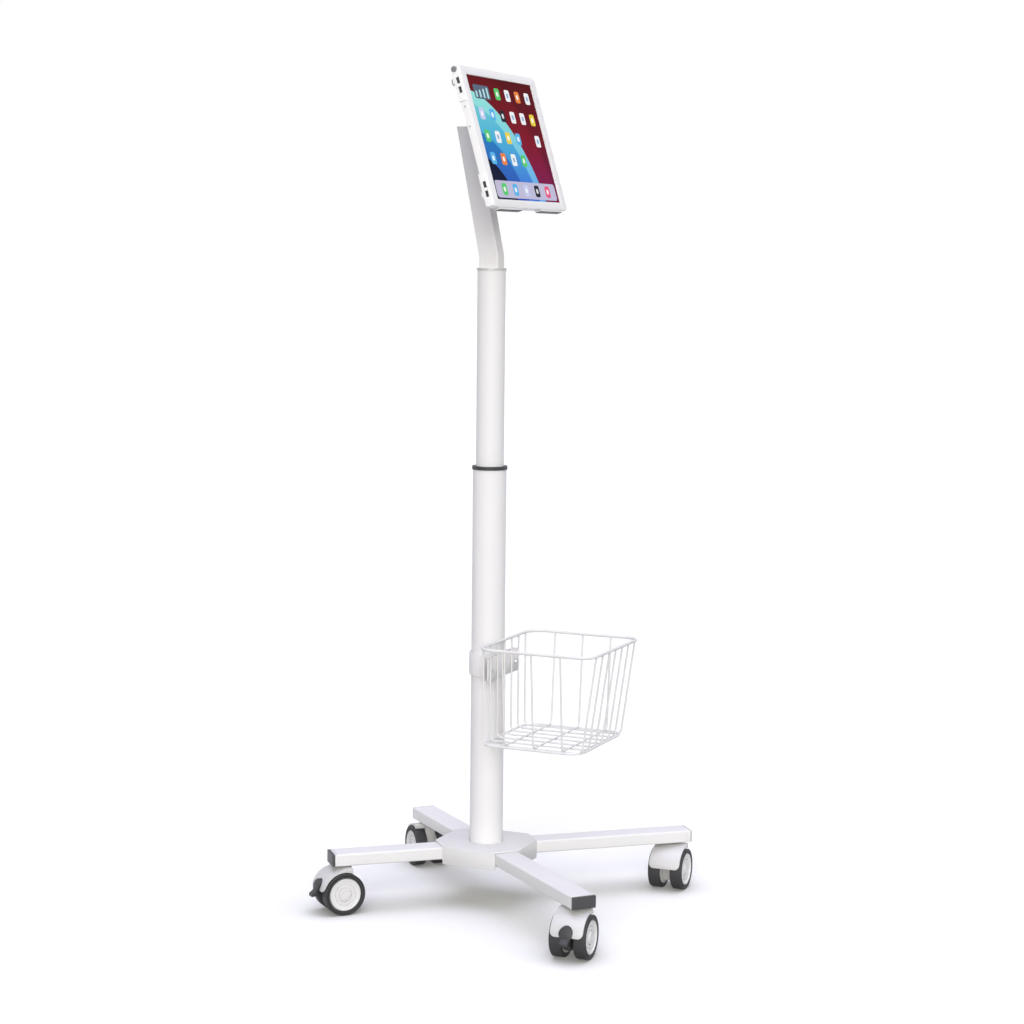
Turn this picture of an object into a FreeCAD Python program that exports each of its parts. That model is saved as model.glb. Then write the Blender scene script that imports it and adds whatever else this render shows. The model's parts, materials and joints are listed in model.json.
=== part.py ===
import FreeCAD, Part
import math
import os
import re
import Sketcher

# Mobile tablet cart: a four-legged base on twin-wheel casters, a telescopic column with a
# gas spring inside, a wire basket on a clamp, and a tilting, turning holder for a tablet.
# Millimetres and degrees. The origin is on the floor, on the column's axis. The cart's front
# is -Y, its left and right are those of someone who faces the screen, and +Z is up.

SIZES = {
    # Legs and their ends
    "leg_top_height": 98.0,
    "leg_width": 40.0,
    "leg_height": 20.0,
    "leg_wall": 2.0,
    "leg_corner": 2.5,
    "leg_angle": 41.0,
    "leg_start": 31.0,
    "front_leg_reach": 353.5,
    "rear_leg_reach": 261.5,
    "end_cap_lip": 8.5,
    "end_cap_plug": 10.0,
    "end_cap_margin": 0.5,
    # Sheet-metal hub
    "hub_reach": 80.0,
    "hub_socket_width": 45.0,
    "hub_sheet": 2.2,
    "hub_depth": 29.5,
    "base_plate_thickness": 3.0,
    # Column
    "column_joint_height": 710.0,
    "lower_tube_diameter": 54.0,
    "upper_tube_diameter": 45.0,
    "tube_wall": 2.0,
    "collar_diameter": 57.0,
    "collar_height": 5.5,
    "collar_sleeve": 60.0,
    "glide_length": 40.0,
    "mast_top_height": 1028.0,
    "column_stroke": 300.0,
    "foot_plate_diameter": 47.5,
    "foot_plate_thickness": 3.5,
    # Gas spring
    "spring_body_diameter": 22.0,
    "spring_body_wall": 1.5,
    "spring_rod_diameter": 10.0,
    "spring_end_thickness": 12.0,
    "piston_height": 10.0,
    "rod_anchor_thickness": 12.0,
    "spring_reserve": 12.0,
    # Arm
    "arm_width": 26.0,
    "arm_depth": 33.0,
    "arm_wall": 2.0,
    "arm_corner": 2.5,
    "arm_foot": 18.0,
    "arm_lean": 11.4,
    "arm_height": 222.5,
    # Tilt head
    "hinge_rise": 194.5,
    "hinge_forward": -1.0,
    "hinge_pin_diameter": 8.0,
    "bracket_sheet": 4.0,
    "bracket_length": 44.0,
    "ear_radius": 11.0,
    "tilt_lug_spacing": 26.0,
    "tilt_plate_size": 84.0,
    "tilt_plate_sheet": 4.0,
    "tilt_plate_corner": 8.0,
    "pivot_diameter": 16.0,
    # Tablet and its holder
    "screen_rise": 5.5,
    "screen_forward": 36.0,
    "screen_lean": 16.4,
    "tablet_width": 277.0,
    "tablet_height": 214.9,
    "tablet_thickness": 6.4,
    "tablet_corner": 12.0,
    "glass_thickness": 1.0,
    "window_width": 250.5,
    "window_height": 197.5,
    "holder_side": 5.6,
    "holder_edge": 3.6,
    "holder_front": 2.0,
    "holder_back_sheet": 2.0,
    "holder_corner": 6.0,
    "corner_block_length": 54.0,
    "corner_block_reach": 22.0,
    "corner_block_side": 1.8,
    "corner_block_depth": 2.0,
    "corner_slot_length": 10.0,
    "corner_slot_width": 5.0,
    "corner_slot_depth": 4.5,
    "corner_slot_pitch": 14.6,
    "corner_slot_inset": 22.0,
    "grip_start": 36.0,
    "grip_length": 88.0,
    "grip_drop": 3.0,
    "lock_diameter": 9.0,
    "lock_head": 1.6,
    "lock_boss_wall": 2.0,
    "lock_boss_height": 2.5,
    "lock_inset": 5.0,
    "lock_drop": 22.0,
    # Basket and its clamp
    "basket_wire": 3.0,
    "basket_rim_wire": 5.0,
    "basket_ring_wire": 4.0,
    "basket_rim_height": 436.0,
    "basket_floor_height": 281.0,
    "basket_top_width": 216.0,
    "basket_floor_width": 191.0,
    "basket_top_depth": 192.0,
    "basket_floor_depth": 170.0,
    "basket_offset": -5.0,
    "basket_corner": 26.0,
    "basket_bend": 9.0,
    "basket_long_pitch": 28.0,
    "basket_cross_pitch": 49.0,
    "basket_cross_shift": 7.0,
    "basket_weld": 0.4,
    "clamp_height": 395.0,
    "clamp_band": 37.0,
    "clamp_sheet": 3.0,
    "clamp_width": 120.0,
    "clamp_gap": 4.0,
    # Casters
    "caster_inset": 26.0,
    "caster_trail": 11.0,
    "wheel_radius": 34.0,
    "wheel_width": 20.0,
    "wheel_gap": 18.0,
    "axle_diameter": 7.0,
    "axle_end_cover": 5.0,
    "web_width": 17.0,
    "web_clearance": 14.0,
    "web_lead": 7.0,
    "web_foot": 8.0,
    "web_reach": 21.0,
    "hood_clearance": 1.4,
    "hood_wall": 2.2,
    "hood_width": 52.0,
    "hood_lead": 3.0,
    "hood_rise": 6.0,
    "hood_corner": 8.0,
    "hood_crown": 5.0,
    "hood_slope": 70.0,
    "stem_diameter": 8.0,
    "stem_length": 26.0,
    "stem_race_diameter": 16.0,
    "stem_race_thickness": 2.7,
    "lever_width": 21.0,
    "lever_thickness": 4.0,
    "lever_clearance": 0.6,
    "lever_neck_width": 13.0,
    "lever_top": 47.0,
    "lever_arm_width": 6.4,
    "lever_arm_depth": 8.0,
    "lever_arm_gap": 2.0,
    "lever_arm_bottom": 17.0,
    "lever_foot_drop": 3.0,
    "lever_lip": 7.0,
    "lever_lip_thickness": 4.0,
    "lever_lip_drop": 1.0,
    "lever_pivot_reach": 14.0,
    "lever_pivot_drop": 4.0,
    "trunnion_diameter": 4.0,
    "front_left_heading": 183.0,
    "front_right_heading": 182.0,
    "rear_left_heading": 139.0,
    "rear_right_heading": 45.0,
    # Clearances
    "running_fit": 0.05,
    "assembly_gap": 0.3,
}

# Levels and radii that several pieces share, worked out from the sizes
LEG_BOTTOM = "(leg_top_height - leg_height)"
HUB_TOP = "(leg_top_height + assembly_gap + hub_sheet)"
LOWER_BORE = "(lower_tube_diameter / 2 - tube_wall)"
UPPER_BORE = "(upper_tube_diameter / 2 - tube_wall)"
SLEEVE_BOTTOM = "(column_joint_height - collar_sleeve)"
MAST_BOTTOM = "(column_joint_height - collar_sleeve - assembly_gap - glide_length)"
SPRING_BOTTOM = LEG_BOTTOM
SPRING_TOP = ("(leg_top_height - leg_height + 2 * spring_end_thickness + 2 * spring_reserve"
              " + piston_height + column_stroke)")
ARM_BOTTOM = "(mast_top_height + foot_plate_thickness)"
ARM_TOP = f"({ARM_BOTTOM} + arm_height)"
HINGE_HEIGHT = f"({ARM_BOTTOM} + hinge_rise)"
SCREEN_HEIGHT = f"({HINGE_HEIGHT} + screen_rise)"
HOLDER_HALF_WIDTH = "(tablet_width / 2 + holder_side)"
HOLDER_HALF_HEIGHT = "(tablet_height / 2 + holder_edge)"
HOLDER_BACK = "(glass_thickness + tablet_thickness + assembly_gap + holder_back_sheet)"
BRACKET_WIDTH = "(tilt_lug_spacing + 4 * bracket_sheet + 2 * assembly_gap)"
HINGE_DEPTH = "((screen_forward + hinge_forward) * cos(screen_lean * 1 deg)" \
              " + screen_rise * sin(screen_lean * 1 deg))"
HOOD_INNER = "(wheel_radius + hood_clearance)"
HOOD_OUTER = "(wheel_radius + hood_clearance + hood_wall)"
HOOD_TOP = "(leg_top_height - leg_height - stem_race_thickness - assembly_gap)"
CLAMP_FRONT = "(-lower_tube_diameter / 2 - assembly_gap - clamp_sheet)"
BASKET_BACK = "(-lower_tube_diameter / 2 - 2 * assembly_gap - clamp_sheet - basket_wire / 2)"

# Each leg's direction from the column, its length, and the way its caster trails at rest
CORNERS = {
    "front_left": ("270 - leg_angle", "front_leg_reach"),
    "front_right": ("270 + leg_angle", "front_leg_reach"),
    "rear_left": ("90 + leg_angle", "rear_leg_reach"),
    "rear_right": ("90 - leg_angle", "rear_leg_reach"),
}
BRAKED = ("front_left", "rear_left")
# The hinge ears' outline: shares of the ear's radius at its bevels and where it meets its plate
EAR_BEVEL = 0.7
EAR_ROOT = 1.6
# The basket's wires: sides of a wire's section, steps in a bend, and wires beside the middle one
WIRE_SIDES = 6
BEND_STEPS = 3
LONG_WIRES_PER_SIDE = 3
CROSS_WIRES_PER_SIDE = 1
SIDES = {"a": ("1", "-90"), "b": ("-1", "90")}

doc = FreeCAD.newDocument("tablet_cart")
sheet = doc.addObject("Spreadsheet::Sheet", "Sizes")
nodes = []


def fill_sheet():
    """Writes each size into the sheet as a plain number with its name as alias."""
    for row, (name, number) in enumerate(SIZES.items(), start=1):
        sheet.set(f"A{row}", name)
        sheet.set(f"B{row}", str(number))
        sheet.setAlias(f"B{row}", name)
    doc.recompute()


def formula(text):
    """Names the sheet before each size in a formula, as FreeCAD's expressions need."""
    return re.sub(r"[a-z_]+", lambda word: "Sizes." + word.group() if word.group() in SIZES
                  else word.group(), text)


def number(text):
    """The value of a formula."""
    return float(sheet.evalExpression(formula(text)))


def placement(x="0", y="0", z="0", axis="0; 0; 1", angle="0"):
    """A placement as a formula: a place and a turn about an axis."""
    return f"placement(vector({x}; {y}; {z}); rotation(vector({axis}); ({angle}) * 1 deg))"


def keep(shape_object, label, place=None):
    """Lists a finished sub-part under its label and binds its placement."""
    shape_object.Label = label
    if place:
        shape_object.setExpression("Placement", formula(place))
    nodes.append(shape_object)
    return shape_object


def new_body(name):
    return doc.addObject("PartDesign::Body", name)


def sketch(body, plane, outlines=(), circles=(), offset=None):
    """A sketch on one of the body's planes, with every corner and circle bound to the sheet."""
    face = next(item for item in body.Origin.OriginFeatures if item.Role == plane + "_Plane")
    drawing = body.newObject("Sketcher::SketchObject", "outline")
    drawing.AttachmentSupport = [(face, "")]
    drawing.MapMode = "FlatFace"
    if offset:
        drawing.setExpression("AttachmentOffset.Base.z", formula(offset))
    for corners in outlines:
        add_polygon(drawing, corners)
    for x, y, radius in circles:
        middle = FreeCAD.Vector(number(x), number(y), 0)
        index = drawing.addGeometry(Part.Circle(middle, FreeCAD.Vector(0, 0, 1), number(radius)))
        pin_point(drawing, index, 3, x, y)
        bind(drawing, Sketcher.Constraint("Radius", index, number(radius)), radius)
    return drawing


def add_polygon(drawing, corners):
    """Straight lines through the corners, closed."""
    points = [FreeCAD.Vector(number(x), number(y), 0) for x, y in corners]
    first = drawing.GeometryCount
    count = len(points)
    for index in range(count):
        drawing.addGeometry(Part.LineSegment(points[index], points[(index + 1) % count]))
    for index in range(count):
        after = first + (index + 1) % count
        drawing.addConstraint(Sketcher.Constraint("Coincident", first + index, 2, after, 1))
        pin_point(drawing, first + index, 1, *corners[index])


def pin_point(drawing, geometry, end, x, y):
    """Holds a point of the sketch at the place that two formulas give."""
    bind(drawing, Sketcher.Constraint("DistanceX", -1, 1, geometry, end, number(x)), x)
    bind(drawing, Sketcher.Constraint("DistanceY", -1, 1, geometry, end, number(y)), y)


def bind(drawing, constraint, text):
    index = drawing.addConstraint(constraint)
    drawing.setExpression(f"Constraints[{index}]", formula(text))


def extrude(kind, body, drawing, length, symmetric=False, reverse=False):
    feature = body.newObject("PartDesign::" + kind, kind.lower())
    feature.Profile = drawing
    feature.setExpression("Length", formula(length))
    feature.SideType = "Symmetric" if symmetric else "One side"
    feature.Reversed = reverse
    doc.recompute()
    return feature


def pad(body, drawing, length, **options):
    return extrude("Pad", body, drawing, length, **options)


def pocket(body, drawing, length, **options):
    """Cuts the drawing's area out and stops if that removed nothing."""
    before = body.Shape.Volume
    feature = extrude("Pocket", body, drawing, length, **options)
    if body.Shape.Volume > before - 1e-6:
        raise RuntimeError(f"a pocket of {body.Name} cuts nothing")
    return feature


def dress(kind, body, feature, edge_test, size):
    """A fillet or chamfer on the feature's edges that pass the test."""
    names = [f"Edge{index}" for index, edge in enumerate(feature.Shape.Edges, start=1) if edge_test(edge)]
    finish = body.newObject("PartDesign::" + kind, kind.lower())
    finish.Base = (feature, names)
    finish.setExpression("Radius" if kind == "Fillet" else "Size", formula(size))
    doc.recompute()
    return finish


def straight_along(direction):
    """A test for straight edges along a direction."""
    way = FreeCAD.Vector(*direction)

    def test(edge):
        if edge.Curve.TypeId != "Part::GeomLine":
            return False
        span = edge.Vertexes[-1].Point - edge.Vertexes[0].Point
        return abs(abs(span.normalize().dot(way)) - 1) < 1e-6
    return test


def rectangle(x_low, y_low, x_high, y_high):
    return [(x_low, y_low), (x_high, y_low), (x_high, y_high), (x_low, y_high)]


def centred(width, height, x="0", y="0"):
    """A rectangle about a centre."""
    return rectangle(f"{x} - ({width}) / 2", f"{y} - ({height}) / 2",
                     f"{x} + ({width}) / 2", f"{y} + ({height}) / 2")


def round_bar(name, steps, bores=()):
    """A turned piece on the Z axis: steps are (radius, low, high), bores are cut out after."""
    body = new_body(name)
    for radius, low, high in steps:
        pad(body, sketch(body, "XY", circles=[("0", "0", radius)], offset=low), f"({high}) - ({low})")
    for radius, low, high in bores:
        drawing = sketch(body, "XY", circles=[("0", "0", radius)], offset=low)
        pocket(body, drawing, f"({high}) - ({low})", reverse=True)
    return body


# Base

def octagon(inset="0"):
    """The hub's plan, square across each leg, with every side moved in by the inset."""
    half = "(hub_socket_width / 2)"
    sine, cosine = "sin(leg_angle * 1 deg)", "cos(leg_angle * 1 deg)"
    side = f"(hub_reach * {sine} + {half} * {cosine} - ({inset}))"
    front = f"(hub_reach * {cosine} + {half} * {sine} - ({inset}))"
    side_end = f"((hub_reach - ({inset}) - {side} * {sine}) / {cosine})"
    front_end = f"((hub_reach - ({inset}) - {front} * {cosine}) / {sine})"
    quarter = [(front_end, front), (side, side_end)]
    return ([(f"-({x})", f"-({y})") for x, y in reversed(quarter)]
            + [(x, f"-({y})") for x, y in quarter]
            + [(x, y) for x, y in reversed(quarter)]
            + [(f"-({x})", y) for x, y in quarter])


def leg_strip(heading, width, start, end):
    """A rectangle in plan, along a leg."""
    sine, cosine = f"sin(({heading}) * 1 deg)", f"cos(({heading}) * 1 deg)"
    return [(f"({along}) * {cosine} - ({across}) * {sine}", f"({along}) * {sine} + ({across}) * {cosine}")
            for along, across in ((start, f"-({width}) / 2"), (end, f"-({width}) / 2"),
                                  (end, f"({width}) / 2"), (start, f"({width}) / 2"))]


def on_leg(heading, along):
    """The place at a distance along a leg."""
    return f"({along}) * cos(({heading}) * 1 deg)", f"({along}) * sin(({heading}) * 1 deg)"


def hub_housing():
    """A folded sheet box, open below and at its four sockets."""
    body = new_body("HubHousing")
    pad(body, sketch(body, "XY", [octagon()]), "hub_depth", reverse=True)
    inside = "hub_depth - hub_sheet"
    pocket(body, sketch(body, "XY", [octagon("hub_sheet")], offset="-hub_sheet"), inside)
    for heading, reach in CORNERS.values():
        strip = leg_strip(heading, "leg_width + 2 * assembly_gap", "0", "hub_reach + hub_sheet")
        pocket(body, sketch(body, "XY", [strip], offset="-hub_sheet"), inside)
    bore = [("0", "0", "lower_tube_diameter / 2 + assembly_gap")]
    pocket(body, sketch(body, "XY", circles=bore), "hub_sheet")
    keep(body, "hub_housing", placement(z=HUB_TOP))


def base_plate():
    """The plate that closes the hub from below and carries the legs and the column."""
    body = new_body("BasePlate")
    outline = octagon("hub_sheet + assembly_gap")
    pad(body, sketch(body, "XY", [outline]), "base_plate_thickness", reverse=True)
    keep(body, "hub_base_plate", placement(z=LEG_BOTTOM))


def leg(corner, heading, reach):
    """A rectangular tube with rounded corners."""
    body = new_body("Leg_" + corner)
    length = f"({reach} - end_cap_lip - leg_start)"
    drawing = sketch(body, "YZ", [centred("leg_width", "leg_height")], offset="leg_start")
    tube = pad(body, drawing, length)
    dress("Fillet", body, tube, straight_along((1, 0, 0)), "leg_corner")
    bore = centred("leg_width - 2 * leg_wall", "leg_height - 2 * leg_wall")
    pocket(body, sketch(body, "YZ", [bore], offset="leg_start"), length, reverse=True)
    keep(body, corner + "_leg", placement(z=f"{LEG_BOTTOM} + leg_height / 2", angle=heading))


def end_caps():
    """Four moulded caps, each a lip on the tube's end and a plug inside it."""
    caps = []
    for corner, (heading, reach) in CORNERS.items():
        lip = doc.addObject("Part::Box", "CapLip_" + corner)
        plug = doc.addObject("Part::Box", "CapPlug_" + corner)
        in_tube = "2 * (leg_wall + assembly_gap)"
        for box, length, trim, start in ((lip, "end_cap_lip", "2 * end_cap_margin", "0"),
                                         (plug, "end_cap_plug", in_tube, "-end_cap_plug")):
            width, height = f"(leg_width - {trim})", f"(leg_height - {trim})"
            box.setExpression("Length", formula(length))
            box.setExpression("Width", formula(width))
            box.setExpression("Height", formula(height))
            box.setExpression("Placement", formula(placement(start, f"-{width} / 2", f"-{height} / 2")))
        cap = doc.addObject("Part::Fuse", "Cap_" + corner)
        cap.Base = lip
        cap.Tool = plug
        x, y = on_leg(heading, f"{reach} - end_cap_lip")
        place = placement(x, y, f"{LEG_BOTTOM} + leg_height / 2", angle=heading)
        cap.setExpression("Placement", formula(place))
        caps.append(cap)
    group = doc.addObject("Part::Compound", "EndCaps")
    group.Links = caps
    keep(group, "leg_end_caps")


# Column

def column_parts():
    """The lower tube with its collar and guide sleeve, and the upper tube with its glide."""
    outer, inner = "lower_tube_diameter / 2", "upper_tube_diameter / 2"
    collar_top = "column_joint_height + collar_height"
    lower = round_bar("LowerTube", [(outer, LEG_BOTTOM, "column_joint_height"),
                                    ("collar_diameter / 2", "column_joint_height", collar_top)],
                      [(f"{inner} + running_fit", SLEEVE_BOTTOM, collar_top),
                       (LOWER_BORE, LEG_BOTTOM, SLEEVE_BOTTOM)])
    keep(lower, "column_lower_tube")
    glide_top = f"{MAST_BOTTOM} + glide_length"
    upper = round_bar("UpperTube", [(f"{LOWER_BORE} - running_fit", MAST_BOTTOM, glide_top),
                                    (inner, MAST_BOTTOM, "mast_top_height")],
                      [(UPPER_BORE, MAST_BOTTOM, "mast_top_height")])
    keep(upper, "column_upper_tube")


def gas_spring():
    """A cylinder that stands in the lower tube, and a rod anchored across the upper tube."""
    body = "spring_body_diameter / 2"
    gland = f"{SPRING_TOP} - spring_end_thickness"
    piston_low = f"{gland} - spring_reserve - piston_height"
    anchor_low = f"{piston_low} + piston_height + column_stroke + spring_reserve + 2 * spring_end_thickness"
    cylinder = round_bar("SpringCylinder", [(body, SPRING_BOTTOM, SPRING_TOP)],
                         [(f"{body} - spring_body_wall", f"{SPRING_BOTTOM} + spring_end_thickness", gland),
                          ("spring_rod_diameter / 2 + running_fit", gland, SPRING_TOP)])
    keep(cylinder, "gas_spring_cylinder")
    rod = round_bar("SpringRod", [(f"{body} - spring_body_wall - running_fit", piston_low,
                                   f"{piston_low} + piston_height"),
                                  ("spring_rod_diameter / 2", f"{piston_low} + piston_height", anchor_low),
                                  (f"{UPPER_BORE} - running_fit", anchor_low,
                                   f"{anchor_low} + rod_anchor_thickness")])
    keep(rod, "gas_spring_rod")


def arm_side(depth, bottom, top):
    """The arm's side view: a short upright foot, then a straight run that leans back."""
    bend = f"({ARM_BOTTOM} + arm_foot)"
    shift = f"({depth}) / 2 * tan(arm_lean / 2 * 1 deg)"
    slope = f"(({top}) - {bend}) * tan(arm_lean * 1 deg)"
    reach = f"({depth}) / 2 / cos(arm_lean * 1 deg)"
    half = f"({depth}) / 2"
    return [(f"-{half}", bottom), (half, bottom), (half, f"{bend} - {shift}"),
            (f"{slope} + {reach}", top), (f"{slope} - {reach}", top), (f"-{half}", f"{bend} + {shift}")]


def arm():
    """The bent box-section arm, closed at its top, on a round foot plate."""
    body = new_body("Arm")
    tube = pad(body, sketch(body, "YZ", [arm_side("arm_depth", ARM_BOTTOM, ARM_TOP)]),
               "arm_width", symmetric=True)

    def long_corner(edge):
        span = edge.Vertexes[-1].Point - edge.Vertexes[0].Point
        return abs(span.x) < 1e-6 and abs(span.normalize().z) > 0.5
    dress("Fillet", body, tube, long_corner, "arm_corner")
    hollow = arm_side("arm_depth - 2 * arm_wall", ARM_BOTTOM, f"{ARM_TOP} - arm_wall")
    pocket(body, sketch(body, "YZ", [hollow]), "arm_width - 2 * arm_wall", symmetric=True)
    plate = [("0", "0", "foot_plate_diameter / 2")]
    pad(body, sketch(body, "XY", circles=plate, offset="mast_top_height"), "foot_plate_thickness")
    keep(body, "arm")


# Tilt head

def head_bracket():
    """A folded bracket on the arm's front with two ears that carry the hinge pin."""
    body = new_body("HeadBracket")
    bend = f"({ARM_BOTTOM} + arm_foot)"
    reach = (f"((({HINGE_HEIGHT} - {bend}) * tan(arm_lean * 1 deg) - hinge_forward)"
             " * cos(arm_lean * 1 deg) - arm_depth / 2)")
    half = "bracket_length / 2"
    base = rectangle(f"{reach} - bracket_sheet", f"-{half}", reach, half)
    pad(body, sketch(body, "YZ", [base]), BRACKET_WIDTH, symmetric=True)
    bevel = f"{EAR_BEVEL} * ear_radius"
    ear = [(f"{reach} - bracket_sheet", f"-{half}"), (f"{reach} - bracket_sheet", half),
           ("0", "ear_radius"), (f"-{bevel}", bevel), ("-ear_radius", "0"), (f"-{bevel}", f"-{bevel}"),
           ("0", "-ear_radius")]
    for start in (f"{BRACKET_WIDTH} / 2 - bracket_sheet", f"-{BRACKET_WIDTH} / 2"):
        pad(body, sketch(body, "YZ", [ear], offset=start), "bracket_sheet")
    bore = [("0", "0", "hinge_pin_diameter / 2 + running_fit")]
    pocket(body, sketch(body, "YZ", circles=bore), BRACKET_WIDTH, symmetric=True)
    place = placement(y="hinge_forward", z=HINGE_HEIGHT, axis="-1; 0; 0", angle="arm_lean")
    keep(body, "head_bracket", place)


def hinge_pin():
    """The tilt hinge's pin, a little longer than the bracket is wide."""
    half = f"({BRACKET_WIDTH} / 2 + assembly_gap)"
    pin = round_bar("HingePin", [("hinge_pin_diameter / 2", f"-{half}", half)])
    keep(pin, "hinge_pin", placement(y="hinge_forward", z=HINGE_HEIGHT, axis="0; 1; 0", angle="90"))


# The head's pieces are drawn upright with the screen's middle at the origin, then leaned back
HEAD_PLACE = placement(y="-screen_forward", z=SCREEN_HEIGHT, axis="-1; 0; 0", angle="screen_lean")


def tilt_plate():
    """The plate behind the holder, with two lugs on the hinge pin and a bore for the pivot."""
    body = new_body("TiltPlate")
    front = f"({HOLDER_BACK} + assembly_gap)"
    drawing = sketch(body, "XZ", [centred("tilt_plate_size", "tilt_plate_size")], offset=f"-{front}")
    plate = pad(body, drawing, "tilt_plate_sheet", reverse=True)
    dress("Chamfer", body, plate, straight_along((0, 1, 0)), "tilt_plate_corner")
    back = f"({front} + tilt_plate_sheet)"
    drop = ("((hinge_forward + screen_forward) * sin(screen_lean * 1 deg)"
            " - screen_rise * cos(screen_lean * 1 deg))")
    bevel, root = f"{EAR_BEVEL} * ear_radius", f"{EAR_ROOT} * ear_radius"
    lug = [(back, f"{drop} - {root}"), (HINGE_DEPTH, f"{drop} - ear_radius"),
           (f"{HINGE_DEPTH} + {bevel}", f"{drop} - {bevel}"), (f"{HINGE_DEPTH} + ear_radius", drop),
           (f"{HINGE_DEPTH} + {bevel}", f"{drop} + {bevel}"),
           (HINGE_DEPTH, f"{drop} + ear_radius"), (back, f"{drop} + {root}")]
    for start in ("tilt_lug_spacing / 2", "-tilt_lug_spacing / 2 - bracket_sheet"):
        pad(body, sketch(body, "YZ", [lug], offset=start), "bracket_sheet")
    bore = [(HINGE_DEPTH, drop, "hinge_pin_diameter / 2 + running_fit")]
    pocket(body, sketch(body, "YZ", circles=bore), BRACKET_WIDTH, symmetric=True)
    pivot = [("0", "0", "pivot_diameter / 2 + running_fit")]
    drawing = sketch(body, "XZ", circles=pivot, offset=f"-{front}")
    pocket(body, drawing, "tilt_plate_sheet")
    keep(body, "tilt_plate", HEAD_PLACE)


# Tablet and holder

def tablet():
    """The tablet's shell and the glass over its screen."""
    corner = straight_along((0, 1, 0))
    shell = new_body("TabletBody")
    drawing = sketch(shell, "XZ", [centred("tablet_width", "tablet_height")], offset="-glass_thickness")
    slab = pad(shell, drawing, "tablet_thickness", reverse=True)
    dress("Fillet", shell, slab, corner, "tablet_corner")
    keep(shell, "tablet_body", HEAD_PLACE)
    glass = new_body("TabletScreen")
    border = "2 * glass_thickness"
    sheet_face = centred(f"tablet_width - {border}", f"tablet_height - {border}")
    pane = pad(glass, sketch(glass, "XZ", [sheet_face]), "glass_thickness", reverse=True)
    dress("Fillet", glass, pane, corner, "tablet_corner - glass_thickness")
    keep(glass, "tablet_screen", HEAD_PLACE)


def holder_back():
    """The holder's rear plate with the pivot that it turns on."""
    body = new_body("HolderBack")
    face = f"({HOLDER_BACK} - holder_back_sheet)"
    outline = centred("tablet_width", "tablet_height")
    plate = pad(body, sketch(body, "XZ", [outline], offset=f"-{face}"), "holder_back_sheet", reverse=True)
    dress("Fillet", body, plate, straight_along((0, 1, 0)), "holder_corner")
    stub = [("0", "0", "pivot_diameter / 2")]
    pad(body, sketch(body, "XZ", circles=stub, offset=f"-{HOLDER_BACK}"),
        "tilt_plate_sheet + assembly_gap", reverse=True)
    keep(body, "holder_back", HEAD_PLACE)


def corner_blocks():
    """The four corner blocks' faces, seen from the front."""
    far = f"({HOLDER_HALF_WIDTH} + corner_block_side)"
    top = f"({HOLDER_HALF_HEIGHT} - holder_corner / 2)"
    for side in ("1", "-1"):
        for level in ("1", "-1"):
            yield rectangle(f"{side} * ({far} - corner_block_reach)",
                            f"{level} * ({HOLDER_HALF_HEIGHT} - corner_block_length)",
                            f"{side} * {far}", f"{level} * {top}")


def bottom_grips():
    """The two grips' faces under the holder's lower edge."""
    for side in ("1", "-1"):
        yield rectangle(f"{side} * grip_start", f"-{HOLDER_HALF_HEIGHT} - grip_drop",
                        f"{side} * (grip_start + grip_length)", f"-{HOLDER_HALF_HEIGHT} + holder_edge")


def holder_frame():
    """The moulded frame: front lip, side walls, four corner blocks with slots, bottom grips."""
    body = new_body("HolderFrame")
    outline = centred(f"2 * {HOLDER_HALF_WIDTH}", f"2 * {HOLDER_HALF_HEIGHT}")
    tray = pad(body, sketch(body, "XZ", [outline], offset="holder_front"),
               f"holder_front + {HOLDER_BACK}", reverse=True)
    dress("Fillet", body, tray, straight_along((0, 1, 0)), "holder_corner")
    pad(body, sketch(body, "XZ", corner_blocks(), offset="holder_front / 2"),
        f"holder_front / 2 + {HOLDER_BACK} + corner_block_depth", reverse=True)
    pad(body, sketch(body, "XZ", bottom_grips(), offset="holder_front / 2"),
        f"holder_front / 2 + {HOLDER_BACK}", reverse=True)
    back = f"({HOLDER_BACK} + corner_block_depth)"
    lock = f"{HOLDER_HALF_HEIGHT} - lock_drop"
    lock_x = f"-({HOLDER_HALF_WIDTH} - lock_inset)"
    boss = "lock_diameter / 2 + lock_boss_wall"
    bosses = [(lock_x, f"{level} * ({lock})", boss) for level in ("1", "-1")]
    pad(body, sketch(body, "XZ", circles=bosses, offset=f"-{back}"), "lock_boss_height", reverse=True)
    window = centred("window_width", "window_height")
    pocket(body, sketch(body, "XZ", [window], offset="holder_front"), "holder_front")
    seat = centred("tablet_width + 2 * assembly_gap", "tablet_height + 2 * assembly_gap")
    pocket(body, sketch(body, "XZ", [seat]), f"{HOLDER_BACK} + assembly_gap")
    slots = []
    for level in ("1", "-1"):
        for step in ("0", "corner_slot_pitch"):
            middle = f"{level} * ({HOLDER_HALF_HEIGHT} - corner_slot_inset - {step})"
            slots.append(centred("corner_slot_width", "corner_slot_length", f"({HOLDER_BACK} / 2)", middle))
    far = f"({HOLDER_HALF_WIDTH} + corner_block_side)"
    pocket(body, sketch(body, "YZ", slots, offset=far), "corner_slot_depth")
    pocket(body, sketch(body, "YZ", slots, offset=f"-{far}"), "corner_slot_depth", reverse=True)
    barrel = [(lock_x, lock, "lock_diameter / 2 + running_fit")]
    pocket(body, sketch(body, "XZ", circles=barrel, offset=f"-({HOLDER_BACK})"),
           "corner_block_depth + lock_boss_height")
    keep(body, "holder_frame", HEAD_PLACE)


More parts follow.
